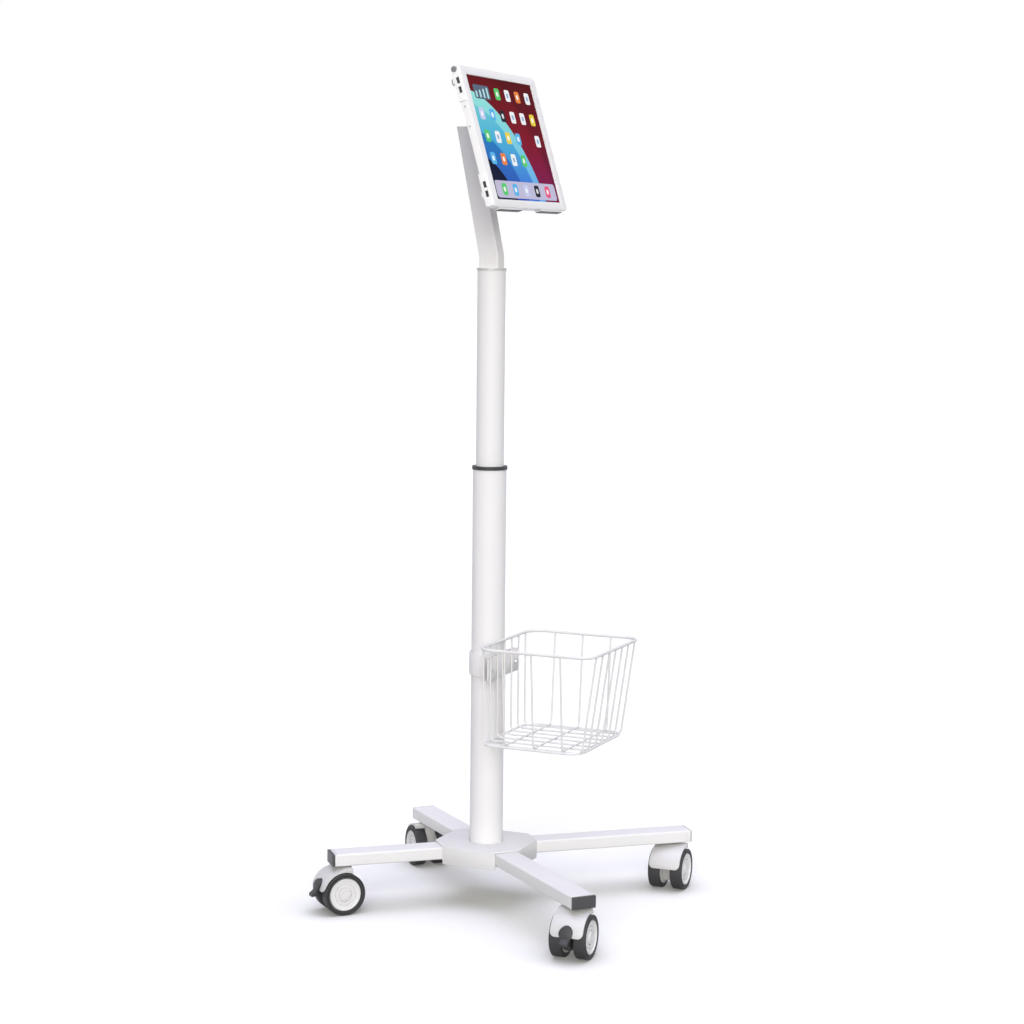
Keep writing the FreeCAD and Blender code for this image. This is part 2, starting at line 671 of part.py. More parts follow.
def cam_lock():
    """The lock's barrel in the upper left boss, with a head outside."""
    start = f"{HOLDER_BACK} + assembly_gap"
    outside = f"({HOLDER_BACK} + corner_block_depth + lock_boss_height + assembly_gap)"
    head = "lock_diameter / 2 + lock_boss_wall / 2"
    barrel = round_bar("CamLock", [("lock_diameter / 2", start, outside),
                                   (head, outside, f"{outside} + lock_head")])
    place = placement(f"-({HOLDER_HALF_WIDTH} - lock_inset)", "0", f"{HOLDER_HALF_HEIGHT} - lock_drop",
                      "-1; 0; 0", "90")
    keep(barrel, "cam_lock", f"{HEAD_PLACE} * {place}")


# Basket and its clamp

def clamp_strap():
    """The strap behind the column with an ear on each side."""
    body = new_body("ClampStrap")
    inner = "(lower_tube_diameter / 2 + assembly_gap)"
    outer = f"({inner} + clamp_sheet)"
    ear_front = f"({CLAMP_FRONT} + clamp_sheet + clamp_gap)"
    circle = [("0", "0", outer)]
    pad(body, sketch(body, "XY", circles=circle), "clamp_band", symmetric=True)
    pocket(body, sketch(body, "XY", [rectangle(f"-2 * {outer}", f"-2 * {outer}", f"2 * {outer}", "0")]),
           "clamp_band", symmetric=True)
    shoulders = rectangle(f"-{outer}", ear_front, outer, "0")
    pad(body, sketch(body, "XY", [shoulders]), "clamp_band", symmetric=True)
    ears = rectangle("basket_offset - clamp_width / 2", ear_front,
                     "basket_offset + clamp_width / 2", f"{ear_front} + clamp_sheet")
    pad(body, sketch(body, "XY", [ears]), "clamp_band", symmetric=True)
    pocket(body, sketch(body, "XY", circles=[("0", "0", inner)]), "clamp_band", symmetric=True)
    pocket(body, sketch(body, "XY", [rectangle(f"-{inner}", f"-{outer}", inner, "0")]),
           "clamp_band", symmetric=True)
    keep(body, "basket_clamp_strap", placement(z="clamp_height"))


def clamp_plate():
    """The flat plate in front of the column that the basket is welded to."""
    body = new_body("ClampPlate")
    face = rectangle("basket_offset - clamp_width / 2", CLAMP_FRONT,
                     "basket_offset + clamp_width / 2", f"{CLAMP_FRONT} + clamp_sheet")
    pad(body, sketch(body, "XY", [face]), "clamp_band", symmetric=True)
    keep(body, "basket_clamp_plate", placement(z="clamp_height"))


def bent_path(corners, bend, closed=False):
    """The points of a wire's middle line, with a round bend at each corner between straights."""
    count = len(corners)
    points = []
    for index, here in enumerate(corners):
        if not closed and index in (0, count - 1):
            points.append(here)
            continue
        inward = (here - corners[index - 1]).normalize()
        outward = (corners[(index + 1) % count] - here).normalize()
        turn = inward.getAngle(outward)
        axis = inward.cross(outward).normalize()
        start = here - inward * bend * math.tan(turn / 2)
        centre = start + axis.cross(inward) * bend
        for step in range(BEND_STEPS + 1):
            swing = FreeCAD.Rotation(axis, math.degrees(turn) * step / BEND_STEPS)
            points.append(centre + swing.multVec(start - centre))
    return points


def wire(points, normal, radius, closed=False):
    """A bar along points in one plane, with a many-sided section mitred at each point."""
    count = len(points)
    rings = []
    for index, here in enumerate(points):
        before = points[index - 1] if closed or index else 2 * here - points[1]
        after = points[(index + 1) % count] if closed or index < count - 1 else 2 * here - before
        inward, outward = (here - before).normalize(), (after - here).normalize()
        across = normal.cross(inward + outward).normalize()
        stretch = radius / across.dot(normal.cross(inward))
        turns = [2 * math.pi * (side + 0.5) / WIRE_SIDES for side in range(WIRE_SIDES)]
        rings.append([here + normal * (radius * math.cos(turn)) + across * (stretch * math.sin(turn))
                      for turn in turns])
    faces = []
    for index in range(count if closed else count - 1):
        ring, following = rings[index], rings[(index + 1) % count]
        for side in range(WIRE_SIDES):
            after = (side + 1) % WIRE_SIDES
            quad = [ring[side], ring[after], following[after], following[side], ring[side]]
            faces.append(Part.Face(Part.makePolygon(quad)))
    if not closed:
        faces += [Part.Face(Part.makePolygon(ring + ring[:1])) for ring in (rings[0], rings[-1])]
    solid = Part.makeSolid(Part.makeShell(faces))
    if solid.Volume < 0:
        solid.reverse()
    return solid


def basket():
    """The welded wire basket: rim, floor ring, fore-aft wires and cross wires."""
    radius, bend = number("basket_wire / 2"), number("basket_bend")
    back, rim, floor = number(BASKET_BACK), number("basket_rim_height"), number("basket_floor_height")
    top_front, floor_front = back - number("basket_top_depth"), back - number("basket_floor_depth")
    top_side, floor_side = number("basket_top_width / 2"), number("basket_floor_width / 2")
    long_pitch, cross_pitch = number("basket_long_pitch"), number("basket_cross_pitch")
    weld, corner = number("basket_weld"), number("basket_corner")
    sideways, forward, upward = FreeCAD.Vector(1, 0, 0), FreeCAD.Vector(0, 1, 0), FreeCAD.Vector(0, 0, 1)
    wires = []
    for index in range(-LONG_WIRES_PER_SIDE, LONG_WIRES_PER_SIDE + 1):
        x = index * long_pitch
        path = [(x, back, rim), (x, back, floor), (x, floor_front, floor), (x, top_front, rim)]
        corners = [FreeCAD.Vector(*point) for point in path]
        wires.append(wire(bent_path(corners, bend), sideways, radius))
    level = floor + 2 * radius - weld
    middle = back - number("basket_floor_depth / 2") - number("basket_cross_shift")
    for index in range(-CROSS_WIRES_PER_SIDE, CROSS_WIRES_PER_SIDE + 1):
        y = middle - index * cross_pitch
        path = [(-top_side, y, rim), (-floor_side, y, level), (floor_side, y, level), (top_side, y, rim)]
        corners = [FreeCAD.Vector(*point) for point in path]
        wires.append(wire(bent_path(corners, bend), forward, radius))
    loops = ((top_side, top_front, back, rim, "basket_rim_wire / 2"),
             (floor_side, floor_front, back, floor, "basket_ring_wire / 2"))
    for side, front, rear, height, section in loops:
        path = [(-side, front, height), (side, front, height), (side, rear, height), (-side, rear, height)]
        corners = [FreeCAD.Vector(*point) for point in path]
        wires.append(wire(bent_path(corners, corner, closed=True), upward, number(section), closed=True))
    frame = doc.addObject("Part::Feature", "Basket")
    frame.Shape = wires[0].multiFuse(wires[1:])
    keep(frame, "basket", placement("basket_offset"))


# Casters: each is drawn with its stem at the origin and its wheels trailing toward +X

def caster_stems():
    """Four swivel stems, each a pin with the race that the leg rests on."""
    pieces = []
    bearing = f"({LEG_BOTTOM} - stem_race_thickness)"
    for corner, (heading, reach) in CORNERS.items():
        x, y = on_leg(heading, f"({reach} - caster_inset)")
        pin_low = f"{bearing} - stem_length"
        race = ("Race_", "stem_race_diameter / 2", bearing, "stem_race_thickness")
        for name, radius, low, height in (("Pin_", "stem_diameter / 2", pin_low, "stem_length"), race):
            piece = doc.addObject("Part::Cylinder", name + corner)
            piece.setExpression("Radius", formula(radius))
            piece.setExpression("Height", formula(height))
            piece.setExpression("Placement", formula(placement(x, y, low)))
            pieces.append(piece)
    group = doc.addObject("Part::Compound", "CasterStems")
    group.Links = pieces
    keep(group, "caster_stems")


AXLE = ("caster_trail", "wheel_radius")
LEVER_PIVOT = ("(caster_trail + lever_pivot_reach)", "(wheel_radius - lever_pivot_drop)")


def housing(corner, place):
    """The caster's moulded body: a shell over both wheels, a flat top for the stem, and a web."""
    body = new_body("Housing_" + corner)
    skirt = "(wheel_radius + hood_rise)"
    pad(body, sketch(body, "XZ", circles=[(*AXLE, HOOD_OUTER)]), "hood_width", symmetric=True)
    slope = "(hood_slope * 1 deg)"
    crown = [("-hood_lead", "wheel_radius"), (AXLE[0], "wheel_radius"),
             (f"caster_trail + {HOOD_OUTER} * cos{slope}", f"wheel_radius + {HOOD_OUTER} * sin{slope}"),
             ("hood_crown", HOOD_TOP), ("-hood_lead", HOOD_TOP)]
    pad(body, sketch(body, "XZ", [crown]), "hood_width", symmetric=True)
    lead = rectangle(f"-2 * {HOOD_OUTER}", "-wheel_radius", "-hood_lead", "3 * wheel_radius")
    below = rectangle("-hood_lead", "-wheel_radius", f"2 * {HOOD_OUTER}", skirt)
    pocket(body, sketch(body, "XZ", [lead]), "hood_width", symmetric=True)
    pocket(body, sketch(body, "XZ", [below]), "hood_width", symmetric=True)
    room = "((hood_width - web_width) / 2)"
    for start, reverse in (("hood_width / 2", False), ("-hood_width / 2", True)):
        drawing = sketch(body, "XZ", circles=[(*AXLE, HOOD_INNER)], offset=start)
        hollow = pocket(body, drawing, room, reverse=reverse)

    def trailing_corner(edge):
        box = edge.BoundBox
        return box.YLength + box.ZLength < 1e-6 and box.Center.x > number("caster_trail + wheel_radius")
    dress("Fillet", body, hollow, trailing_corner, "hood_corner")
    web = [("0", HOOD_TOP), ("-web_lead", HOOD_TOP), ("-web_lead", "wheel_radius"),
           ("caster_trail - web_foot", "web_clearance"), ("caster_trail + web_foot", "web_clearance"),
           ("caster_trail + web_reach", skirt), ("0", skirt)]
    pad(body, sketch(body, "XZ", [web]), "web_width", symmetric=True)
    bore = [("0", "0", "stem_diameter / 2 + running_fit")]
    depth = f"({LEG_BOTTOM} - stem_race_thickness - stem_length - assembly_gap)"
    pocket(body, sketch(body, "XY", circles=bore, offset=depth), f"{HOOD_TOP} - {depth}", reverse=True)
    axle = [(*AXLE, "axle_diameter / 2 + running_fit")]
    pocket(body, sketch(body, "XZ", circles=axle), "web_width", symmetric=True)
    if corner in BRAKED:
        x, z = LEVER_PIVOT
        slot_top = "wheel_radius + lever_arm_depth"
        slot = rectangle(f"{x} - lever_arm_depth", "0", f"2 * {HOOD_OUTER}", slot_top)
        pocket(body, sketch(body, "XZ", [slot]), "lever_arm_width + 2 * assembly_gap", symmetric=True)
        pivot = [(x, z, "trunnion_diameter / 2 + running_fit")]
        pocket(body, sketch(body, "XZ", circles=pivot), "web_width", symmetric=True)
    keep(body, corner + "_caster_housing", place)


def axle(corner, place):
    body = new_body("Axle_" + corner)
    span = "2 * (wheel_gap / 2 + wheel_width - axle_end_cover - assembly_gap)"
    pad(body, sketch(body, "XZ", circles=[(*AXLE, "axle_diameter / 2")]), span, symmetric=True)
    keep(body, corner + "_caster_axle", place)


def wheel(corner, side, place):
    """A wheel with a blind bore for the axle."""
    name = corner + "_wheel_" + side
    start = "wheel_gap / 2"
    end = f"({start} + wheel_width)"
    body = round_bar("Wheel_" + name, [("wheel_radius", start, end)],
                     [("axle_diameter / 2 + running_fit", start, f"{end} - axle_end_cover")])
    keep(body, name, place)


def brake_lever(corner, place):
    """A curved pedal with a round top, a lip to press, and a deep arm that turns in the web."""
    body = new_body("Lever_" + corner)
    x, z = LEVER_PIVOT
    inner = f"({HOOD_OUTER} + lever_clearance)"
    outer = f"({inner} + lever_thickness)"
    foot = "(wheel_radius - lever_foot_drop)"
    ledge = "(wheel_radius + hood_rise - assembly_gap)"
    root, tip = f"(caster_trail + {outer})", f"(caster_trail + {outer} + lever_lip)"
    start = "(caster_trail + web_reach + lever_arm_gap)"
    depth = f"2 * {outer}"
    pad(body, sketch(body, "YZ", circles=[("0", "lever_top", "lever_width / 2")]), depth)
    taper = [("-lever_neck_width / 2", foot), ("lever_neck_width / 2", foot),
             ("lever_width / 2", "lever_top"), ("-lever_width / 2", "lever_top")]
    pad(body, sketch(body, "YZ", [taper]), depth)
    outside = rectangle("-wheel_radius", "-wheel_radius", f"3 * {outer}", "4 * wheel_radius")
    pocket(body, sketch(body, "XZ", [outside], [(*AXLE, outer)]), "lever_width", symmetric=True)
    pocket(body, sketch(body, "XZ", circles=[(*AXLE, inner)]), "lever_width", symmetric=True)
    tip_bottom = f"({foot} - lever_lip_drop)"
    wedge = [(start, "lever_arm_bottom"), (root, foot), (tip, tip_bottom),
             (tip, f"{tip_bottom} + lever_lip_thickness"), (root, ledge), (start, ledge)]
    pad(body, sketch(body, "XZ", [wedge]), "lever_neck_width", symmetric=True)
    half = "lever_arm_depth / 2"
    arm_face = rectangle(f"{x} - {half}", f"{z} - {half}", f"{start} + {half}", f"{z} + {half}")
    pad(body, sketch(body, "XZ", [arm_face]), "lever_arm_width", symmetric=True)
    trunnion = [(x, z, "trunnion_diameter / 2")]
    pad(body, sketch(body, "XZ", circles=trunnion), "web_width", symmetric=True)
    keep(body, corner + "_brake_lever", place)


def caster(corner):
    heading, reach = CORNERS[corner]
    x, y = on_leg(heading, f"({reach} - caster_inset)")
    place = placement(x, y, angle=corner + "_heading")
    housing(corner, place)
    axle(corner, place)
    for side, (sign, turn) in SIDES.items():
        wheel(corner, side, f"{place} * {placement(AXLE[0], '0', AXLE[1], '1; 0; 0', turn)}")
    if corner in BRAKED:
        brake_lever(corner, place)


def check_and_write():
    """Stops on any broken object, then writes one file for each sub-part."""
    doc.recompute()
    broken = [item.Name for item in doc.Objects if "Invalid" in item.State or "Error" in item.State]
    if broken:
        raise RuntimeError(f"objects with errors: {broken}")
    for node in nodes:
        if node.Shape.isNull() or not node.Shape.isValid() or not node.Shape.Solids:
            raise RuntimeError(f"{node.Label} has no valid shape")
    os.makedirs("parts", exist_ok=True)
    for node in nodes:
        node.Shape.exportStep(f"parts/{node.Label}.step")


fill_sheet()
hub_housing()
base_plate()
for corner, (heading, reach) in CORNERS.items():
    leg(corner, heading, reach)
end_caps()
column_parts()
gas_spring()
arm()
head_bracket()
hinge_pin()
tilt_plate()
tablet()
holder_back()
holder_frame()
cam_lock()
clamp_strap()
clamp_plate()
basket()
caster_stems()
for corner in CORNERS:
    caster(corner)
check_and_write()
print(len(nodes), "sub-parts written")
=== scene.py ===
import json
import math

import bmesh
import bpy
from mathutils import Matrix, Vector


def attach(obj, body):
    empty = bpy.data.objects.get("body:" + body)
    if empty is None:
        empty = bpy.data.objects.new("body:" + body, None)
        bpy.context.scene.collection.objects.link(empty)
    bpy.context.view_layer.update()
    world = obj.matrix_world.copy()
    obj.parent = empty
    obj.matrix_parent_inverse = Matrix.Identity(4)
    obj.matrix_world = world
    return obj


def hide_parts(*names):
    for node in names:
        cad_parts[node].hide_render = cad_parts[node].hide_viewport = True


# The look of a mobile tablet cart: powder-coated steel, moulded casters, a wire basket and a
# tablet that shows a made-up home screen. Metres, in the frame of the CAD model.

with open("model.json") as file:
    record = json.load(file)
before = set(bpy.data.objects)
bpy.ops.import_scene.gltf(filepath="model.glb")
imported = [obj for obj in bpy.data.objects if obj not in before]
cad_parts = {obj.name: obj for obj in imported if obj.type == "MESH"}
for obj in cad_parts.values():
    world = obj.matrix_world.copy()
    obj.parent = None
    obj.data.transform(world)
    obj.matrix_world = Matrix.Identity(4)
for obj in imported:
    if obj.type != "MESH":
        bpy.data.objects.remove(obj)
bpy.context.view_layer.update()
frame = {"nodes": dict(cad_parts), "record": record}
nodes = frame["nodes"]
collection = bpy.context.scene.collection
joints = {joint["name"]: joint for joint in frame["record"]["behaviour"]["joints"]}

MM = 0.001
CORNERS = ("front_left", "front_right", "rear_left", "rear_right")
BRAKED_CORNERS = ("front_left", "rear_left")

# The photograph's camera
CAMERA_PLACE = Vector((-3.37305, -1.51356, 1.05834))
CAMERA_FORWARD = Vector((0.91057, 0.39784, -0.11219))
CAMERA_RIGHT = Vector((0.40146, -0.91582, 0.01077))
CAMERA_REACH = 100
SENSOR = 36.0
LENS = 81.2

# The head: the middle of the screen's front face and how far it leans back
SCREEN_PLACE = Vector((0.0, -0.036, 1.2315))
SCREEN_LEAN = math.radians(16.4)
WINDOW_WIDTH = 0.2505
WINDOW_HEIGHT = 0.1975
HEAD = Matrix.Translation(SCREEN_PLACE) @ Matrix.Rotation(-SCREEN_LEAN, 4, "X")

# Studio: the dome and the floor, and how far and how much a painted shadow darkens the floor near
# the cart
DOME_TOP = (0.20, 0.20, 0.235)
DOME_RIM = (0.26, 0.255, 0.245)
FLOOR_HALF = 40.0
FLOOR_SEEN = (0.975, 0.975, 0.905)
FLOOR_BOUNCE = (0.44, 0.44, 0.42)
FLOOR_GLOW = 0.10
FLOOR_ROUGHNESS = 0.9
FLOOR_SPECULAR = 0.1
# The painted shadow on the floor's colour near the cart: its reach, its strength and its samples
PAINTED_SHADOW_REACH = 0.28
PAINTED_SHADOW_SHARE = 0.62
PAINTED_SHADOW_SAMPLES = 12
# Lamps: the way the light goes, its energy, how wide the sun is in degrees, and its colour
LAMPS = {
    "key": ((0.92, 0.34, -0.36), 2.2, 35, (1.0, 0.985, 0.96)),
    "overhead": ((0.12, 0.02, -1.0), 2.0, 60, (0.75, 0.75, 1.0)),
    "fill": ((-0.10, 0.85, -0.52), 0.42, 50, (1.0, 1.0, 1.0)),
}

# Edges of the CAD nodes: the angles from which one is rounded or split, and how far each is
# rounded. Nodes that aren't named, such as the tubes and the legs, keep crisp edges.
SOFT_BELOW = math.radians(35)
SPLIT_ABOVE = math.radians(30)
WELD_DISTANCE = 0.00001
DOUBLES_DISTANCE = 1e-7
ROUND_SEGMENTS = 3
EDGE_ROUND = {
    "hub_housing": 0.0008, "hub_base_plate": 0.0005, "leg_end_caps": 0.0007,
    "head_bracket": 0.0005, "tilt_plate": 0.0006, "holder_back": 0.0003,
    "holder_frame": 0.0006, "basket_clamp_strap": 0.0006, "basket_clamp_plate": 0.0006,
    "cam_lock": 0.0003, "hinge_pin": 0.0004, "tablet_body": 0.0012,
    **{f"{corner}_caster_housing": 0.0009 for corner in CORNERS},
    **{f"{corner}_brake_lever": 0.0008 for corner in BRAKED_CORNERS},
}

# Casters. The tyre and the disc are given as (radius, drop from the wheel's outer side).
WHEEL_RADIUS = 0.034
WHEEL_WIDTH = 0.020
WHEEL_GAP = 0.018
WHEEL_STEPS = 96
DISC_RADIUS = 0.0267
SHOULDER_ROUND = 0.0030
TYRE_SHOULDERS = (
    (DISC_RADIUS, WHEEL_WIDTH), (WHEEL_RADIUS, WHEEL_WIDTH), (WHEEL_RADIUS, 0.0004),
    (0.0316, 0.0002),
)
TYRE_CREASE = (
    (0.0312, 0.0014), (0.0300, 0.0014), (0.0296, 0.0), (0.0275, 0.0), (DISC_RADIUS, 0.0010),
)
DISC_FACE = (
    (0.0, WHEEL_WIDTH), (0.0266, WHEEL_WIDTH),
    (0.0266, 0.0026), (0.0260, 0.0024), (0.0254, 0.0003), (0.0236, 0.0003), (0.0230, 0.0018),
    (0.0178, 0.0021), (0.0175, 0.0036), (0.0165, 0.0036), (0.0162, 0.0021), (0.0120, 0.0023),
    (0.0116, 0.0042), (0.0104, 0.0042), (0.0100, 0.0008), (0.0076, 0.0006), (0.0073, 0.0020),
    (0.0064, 0.0020), (0.0061, 0.0005), (0.0, 0.0004),
)

# Screws of the clamp and the hub
CLAMP_SCREWS = (-0.0545, 0.0445)
CLAMP_LEVEL = 0.392
CLAMP_FRONT = -0.0303
CLAMP_BACK = -0.0203
CLAMP_SCREW_RADIUS = 0.0038
CLAMP_NUT_RADIUS = 0.0042
LEG_HEADINGS = (49, 131, 229, 311)
HUB_UNDERSIDE = 0.075
HUB_BOLT_PLACES = (0.040, 0.062)
HUB_BOLT_RADIUS = 0.0045
# A screw's head in shares of its radius, and a nut as (share of its radius, height)
SCREW_SUNK = 0.001
SCREW_STEPS = 32
SCREW_HEAD = ((1.0, 0.35), (0.85, 0.6), (0.5, 0.68), (0.42, 0.2), (0.0, 0.16))
NUT_SIDES = 6
NUT_SECTION = (
    (0.0, -0.0005), (1.0, -0.0005), (1.0, 0.0028), (0.9, 0.0032), (0.55, 0.0032),
    (0.5, 0.0042), (0.0, 0.0044),
)

# The holder's slots with dark boxes of painted shade in them, its side screws, its knob and its
# grips with their dark strips
SLOT_FACE = 0.1459
SLOT_LEVEL = 0.08905
SLOT_PITCH = 0.0146
SLOT_DEPTH = 0.00485
SLOT_SHADE_INNER = 0.0036
SLOT_SHADE_OUTER = 0.0012
SLOT_SHADE_HALF_DEPTH = 0.0024
SLOT_SHADE_HALF_HEIGHT = 0.0049
HOLDER_SIDE = 0.1441
SIDE_SCREWS = (0.017, 0.048)
SIDE_SCREW_RADIUS = 0.0017
KNOB_PLACE = (-0.1459, 0.0066, 0.1072)
KNOB_STEPS = 40
KNOB_SECTION = (
    (0.0, -0.0036), (0.0046, -0.0036), (0.0046, 0.0010), (0.0040, 0.0016), (0.0016, 0.0018),
    (0.0012, 0.0010), (0.0, 0.0010),
)
GRIP_ENDS = (0.037, 0.123)
GRIP_FRONT = 0.0002
GRIP_BACK = 0.0085
GRIP_UNDERSIDE = -0.11485
GRIP_TOP = -0.11305

# The home screen. Its layers lie a little in front of the glass, one before the other.
WINDOW_MARGIN = 0.0004
WALLPAPER_DEPTH = 0.0001
BAR_DEPTH = 0.00012
TILE_DEPTH = 0.00015
MARK_DEPTH = 0.0002
TILE_SIZE = 0.0190
TILE_CORNER = 0.0042
TILE_CORNER_STEPS = 8
MARK_SIZE = 0.42 * TILE_SIZE
MARK_CORNER = 0.0035
TILE_LEFT = -0.098
TILE_TOP = 0.074
TILE_PITCH = 0.0392
TILE_DROP = 0.0355
TILE_COLOURS = {
    "snow": (0.86, 0.88, 0.90), "leaf": (0.10, 0.58, 0.16), "sun": (0.80, 0.62, 0.06),
    "sky": (0.10, 0.45, 0.80), "ember": (0.80, 0.22, 0.05), "mist": (0.55, 0.60, 0.85),
    "ink": (0.02, 0.02, 0.03), "rose": (0.80, 0.10, 0.22),
}
TILE_MARKS = {
    "snow": (0.30, 0.45, 0.65), "leaf": (0.85, 0.92, 0.85), "sun": (0.95, 0.93, 0.80),
    "sky": (0.85, 0.92, 0.96), "ember": (0.95, 0.88, 0.80), "mist": (0.90, 0.92, 0.98),
    "ink": (0.70, 0.72, 0.75), "rose": (0.95, 0.85, 0.88),
}
TILE_ROWS = (
    (None, None, "leaf", "snow", "ember", "snow"),
    ("mist", "sky", "ink", "snow", "snow", "sun"),
    ("leaf", "snow", "sun", "sky", None, "snow"),
    ("sky", "ember", "snow", "leaf", None, None),
)
PANEL_PLACE = (-0.0784, 0.0735)
PANEL_SIZE = (0.0585, 0.0225)
PANEL_CORNER = 0.005
PANEL_COLOUR = (0.10, 0.14, 0.20)
# The panel's bars: centre and size of the first, and what each next one adds
CHART_BARS = 4
CHART_START = (-0.021, -0.004)
CHART_STEP = (0.014, 0.0012)
CHART_SIZE = (0.006, 0.010)
CHART_GROWTH = 0.0024
CHART_CORNER = 0.002
CHART_COLOUR = (0.45, 0.75, 0.80)
FOOT_LEVEL = -0.0815
FOOT_PITCH = 0.0425
FOOT_ROW = ("leaf", "sky", "mist", "ink", "rose")
FOOT_BAR = (0.236, 0.0275)
FOOT_BAR_CORNER = 0.007
FOOT_BAR_COLOUR = (0.52, 0.50, 0.68)
# The wallpaper: soft rings round a point below the lower left corner, in shares of the
# window's width. Each has a radius, how soft its edge is, and its colours from foot to top.
RING_CENTRE = (-0.12, -0.22, 0.0)
WALLPAPER_MIDDLE = ((0.0, (0.005, 0.009, 0.040)), (1.0, (0.002, 0.003, 0.010)))
WALLPAPER_RINGS = (
    (0.50, 0.004, ((0.0, (0.03, 0.07, 0.46)), (0.6, (0.02, 0.22, 0.52)),
                   (1.0, (0.04, 0.36, 0.50)))),
    (0.66, 0.010, ((0.1, (0.05, 0.17, 0.66)), (0.5, (0.07, 0.42, 0.68)),
                   (0.9, (0.18, 0.66, 0.62)))),
    (0.83, 0.006, ((0.1, (0.13, 0.40, 0.80)), (0.6, (0.22, 0.66, 0.72)),
                   (1.0, (0.34, 0.78, 0.68)))),
    (0.92, 0.004, ((0.1, (0.20, 0.008, 0.075)), (0.5, (0.22, 0.006, 0.02)),
                   (1.0, (0.12, 0.004, 0.006)))),
    (1.14, 0.040, ((0.1, (0.13, 0.006, 0.06)), (0.5, (0.15, 0.005, 0.016)),
                   (1.0, (0.09, 0.003, 0.005)))),
)

# The basket
BASKET_MIDDLE = -0.005
BASKET_BACK = -0.0321
BASKET_RIM = 0.436
BASKET_FLOOR = 0.281
BASKET_TOP_WIDTH = 0.216
BASKET_FLOOR_WIDTH = 0.191
BASKET_TOP_DEPTH = 0.192
BASKET_FLOOR_DEPTH = 0.170
BASKET_CORNER = 0.026
WIRE_BEND = 0.009
BEND_STEPS = 8
WIRE_RADIUS = 0.0015
WIRE_SIDES = 14
RIM_RADIUS = 0.0025
RING_RADIUS = 0.002
LONG_PLACES = range(-3, 4)
LONG_PITCH = 0.028
CROSS_PLACES = range(-1, 2)
CROSS_PITCH = 0.049
CROSS_SHIFT = 0.007
# How deep a crossing wire sinks into the one below it
WELD = 0.0004

# Where a node's coat changes: heights, and distances along the legs for their dark inserts
COLLAR_BOTTOM = 0.7099
FOOT_PLATE_TOP = 1.0314
# Where the painted shade on the arm is darkest
ARM_FADE_TOP = 1.20
LEG_DIRECTION = (0.656, 0.755)
FRONT_CAP_START = 0.349
REAR_CAP_START = 0.257
RIGHT_CAP_SHIFT = 0.003

# What the coats share: the grain's bump, the slow noise and where it turns from dark to
# light, and how far the roughness goes down and up. Then the same for the coats of two tones
# and for the legs' inserts.
BUMP_DEPTH = 0.0002
FINE_DETAIL = 4.0
SLOW_SCALE = 9.0
SLOW_DETAIL = 3.0
DARK_AT = 0.3
LIGHT_AT = 0.7
ROUGH_BELOW = 0.05
ROUGH_ABOVE = 0.06
COAT_GRAIN = 0.25
COAT_SCALE = 1400
COAT_TONES = (0.98, 1.02)
INSERT_SCALE = 1500
INSERT_ROUGHNESS = (0.40, 0.50)
# The lit screen's glass, which is almost without gloss
GLASS_COLOUR = (0.004, 0.004, 0.005)
GLASS_ROUGHNESS = 0.2
GLASS_IOR = 1.03
WHITE = (1, 1, 1, 1)


# Materials

def opaque(colour):
    return (*colour, 1)


class Nodes:
    """The node tree of a material or the world, with short calls for adding and joining nodes."""

    def __init__(self, owner, shader):
        owner.use_nodes = True
        self.owner = owner
        self.tree = owner.node_tree
        self.shader = self.tree.nodes[shader]

    def feed(self, node, name, value):
        """Sets a node's input, or joins it to another node's output."""
        if isinstance(value, bpy.types.NodeSocket):
            self.tree.links.new(value, node.inputs[name])
        else:
            node.inputs[name].default_value = value

    def add(self, kind, inputs=None, **settings):
        node = self.tree.nodes.new("ShaderNode" + kind)
        for name, value in settings.items():
            setattr(node, name, value)
        for name, value in (inputs or {}).items():
            self.feed(node, name, value)
        return node

    def shade(self, inputs):
        for name, value in inputs.items():
            self.feed(self.shader, name, value)

    def place(self):
        """The point in the object's own space, which is the CAD model's for all pieces here."""
        return self.add("TexCoord").outputs["Object"]

    def split(self, point):
        return self.add("SeparateXYZ", {"Vector": point}).outputs

    def noise(self, point, scale, detail):
        inputs = {"Vector": point, "Scale": scale, "Detail": detail}
        return self.add("TexNoise", inputs).outputs["Fac"]

    def compute(self, operation, *values):
        return self.add("Math", dict(enumerate(values)), operation=operation).outputs["Value"]

    def spread(self, value, low, high):
        """Brings a value from 0 to 1 between two numbers."""
        inputs = {"Value": value, "To Min": low, "To Max": high}
        return self.add("MapRange", inputs).outputs["Result"]

    def fade(self, value, start, end):
        """Rises softly from 0 to 1 while a value goes from start to end."""
        inputs = {"Value": value, "From Min": start, "From Max": end}
        return self.add("MapRange", inputs, interpolation_type="SMOOTHSTEP").outputs["Result"]

    def mix(self, share, first, second, blend="MIX"):
        inputs = {"Fac": share, "Color1": first, "Color2": second}
        return self.add("MixRGB", inputs, blend_type=blend).outputs["Color"]

    def ramp(self, value, stops):
        """A colour that a value picks between stops, each a position and a colour."""
        ramp = self.add("ValToRGB", {"Fac": value})
        elements = ramp.color_ramp.elements
        while len(elements) < len(stops):
            elements.new(0.5)
        for element, (position, colour) in zip(elements, stops):
            element.position = position
            element.color = opaque(colour)
        return ramp.outputs["Color"]

    def bump(self, height, strength):
        inputs = {"Strength": strength, "Distance": BUMP_DEPTH, "Height": height}
        self.shade({"Normal": self.add("Bump", inputs).outputs["Normal"]})


def new_material(name):
    return Nodes(bpy.data.materials.new(name), "Principled BSDF")


